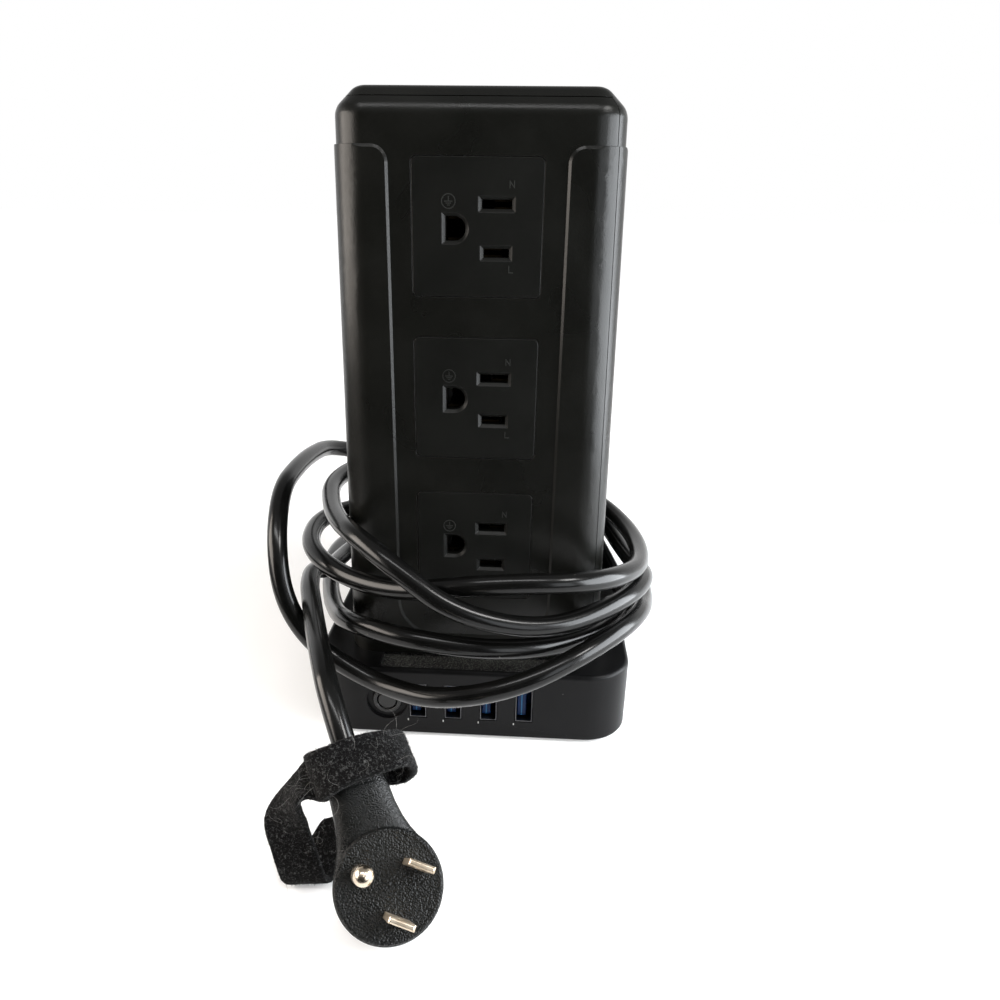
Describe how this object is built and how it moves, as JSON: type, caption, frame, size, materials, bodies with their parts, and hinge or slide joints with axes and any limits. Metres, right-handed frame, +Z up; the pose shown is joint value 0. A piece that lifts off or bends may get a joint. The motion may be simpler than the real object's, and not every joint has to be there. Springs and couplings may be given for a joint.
{
  "type": "tower power strip",
  "caption": "Tower power strip with outlets on every side, charging ports, a reset button and a rocker switch in its base, and a mains lead wound round its foot.",
  "frame": {"origin": "middle of the base's underside, in the plane of its feet", "axes": "+Z up the tower, -Y out of the front face with the charging ports and the reset button, +X to the right as seen from the front"},
  "size_m": [0.1365, 0.2758, 0.1987],
  "materials": {
    "base_plastic": "satin black",
    "tower_plastic": "satin black",
    "foot_rubber": "matte",
    "screw_steel": "zinc plated",
    "outlet_plastic": "fine matte grain",
    "contact_brass": "bright",
    "column_plastic": "matte grey",
    "port_steel": "plated",
    "tongue_plastic": "blue",
    "board_green": "solder mask",
    "component_plastic": "moulded",
    "breaker_plastic": "satin black",
    "button_plastic": "satin black",
    "frame_plastic": "satin black",
    "rocker_plastic": "gloss black",
    "lens_clear": "translucent orange",
    "cord_jacket": "smooth vinyl",
    "plug_jacket": "fine leather grain",
    "plug_metal": "nickel plated",
    "strap_fabric": "hook and loop"
  },
  "bodies": {
    "tower": {"base_bottom_plate": "base_plastic", "base_housing": "base_plastic", "base_screws": "screw_steel", "breaker_body": "breaker_plastic", "contact_column": "column_plastic", "cord_lead": "cord_jacket", "cord_strap": "strap_fabric", "cord_tail": "cord_jacket", "cord_winding": "cord_jacket", "front_left_shell": "tower_plastic", "ground_strip_back": "contact_brass", "ground_strip_front": "contact_brass", "ground_strip_left": "contact_brass", "ground_strip_right": "contact_brass", "indicator_lamp": "lens_clear", "indicator_lens": "lens_clear", "live_strip_back": "contact_brass", "live_strip_front": "contact_brass", "live_strip_left": "contact_brass", "live_strip_right": "contact_brass", "neutral_strip_back": "contact_brass", "neutral_strip_front": "contact_brass", "neutral_strip_left": "contact_brass", "neutral_strip_right": "contact_brass", "outlet_back_lower": "outlet_plastic", "outlet_back_middle": "outlet_plastic", "outlet_back_upper": "outlet_plastic", "outlet_front_lower": "outlet_plastic", "outlet_front_middle": "outlet_plastic", "outlet_front_upper": "outlet_plastic", "outlet_left_lower": "outlet_plastic", "outlet_left_middle": "outlet_plastic", "outlet_left_upper": "outlet_plastic", "outlet_right_lower": "outlet_plastic", "outlet_right_middle": "outlet_plastic", "outlet_right_upper": "outlet_plastic", "plug_blades": "plug_metal", "plug_body": "plug_jacket", "plug_ground_pin": "plug_metal", "rear_right_shell": "tower_plastic", "rocker_frame": "frame_plastic", "rubber_feet": "foot_rubber", "shell_screws": "screw_steel", "strain_relief": "cord_jacket", "surge_board": "board_green", "thermal_fuse": "component_plastic", "usb_board": "board_green", "usb_converter": "component_plastic", "usb_shell_1": "port_steel", "usb_shell_2": "port_steel", "usb_shell_3": "port_steel", "usb_shell_4": "port_steel", "usb_tongue_1": "tongue_plastic", "usb_tongue_2": "tongue_plastic", "usb_tongue_3": "tongue_plastic", "usb_tongue_4": "tongue_plastic", "varistors": "component_plastic"},
    "rocker": {"power_rocker": "rocker_plastic"},
    "reset_button": {"breaker_button": "button_plastic"}
  },
  "joints": [
    {"name": "rocker_pivot", "type": "hinge", "parent": "tower", "child": "rocker", "pos_m": [0.0477, 0, 0.0138], "axis": [0, 0, 1], "range_deg": [-16, 0]},
    {"name": "reset_slide", "type": "slide", "parent": "tower", "child": "reset_button", "axis": [0, 1, 0], "range_m": [0, 0.0012], "stiffness_N_per_m": 400}
  ]
}
